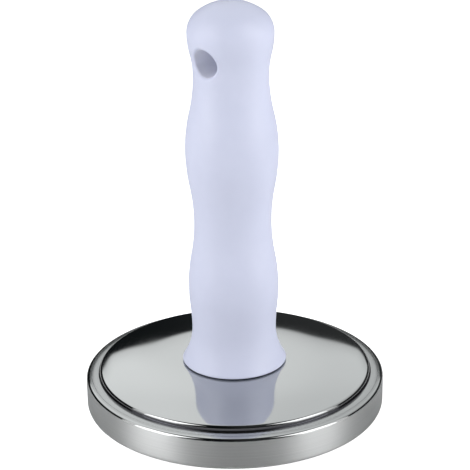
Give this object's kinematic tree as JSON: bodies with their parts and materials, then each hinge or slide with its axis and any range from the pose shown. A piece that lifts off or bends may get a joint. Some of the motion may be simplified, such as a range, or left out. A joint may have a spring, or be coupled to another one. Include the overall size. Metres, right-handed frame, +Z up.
{
  "type": "meat pounder",
  "caption": "Round weighted steel disc with a mirror-polished crowned top and an upright wavy moulded grip with a hanging hole, for flattening meat by hand.",
  "frame": {"origin": "centre of the pounding face, which is the face the tool rests on", "axes": "+Z up along the disc's and grip's common axis; the hanging hole runs along Y"},
  "size_m": [0.1096, 0.1096, 0.1516],
  "materials": {
    "brushed_stainless": "brushed around the rim",
    "mirror_stainless": "mirror-polished top, satin shelf",
    "cast_iron": "as cast",
    "plain_steel": "zinc plated",
    "brass": "turned",
    "seal_rubber": "matte",
    "grip_plastic": "satin moulded"
  },
  "bodies": {
    "root": {"strike_pan": "brushed_stainless", "weight_core": "cast_iron", "top_cover": "mirror_stainless", "tie_bolt": "plain_steel", "clamp_washer": "plain_steel", "spring_washer": "plain_steel", "clamp_nut": "plain_steel", "threaded_insert": "brass", "foot_seal": "seal_rubber", "grip": "grip_plastic"}
  },
  "joints": []
}
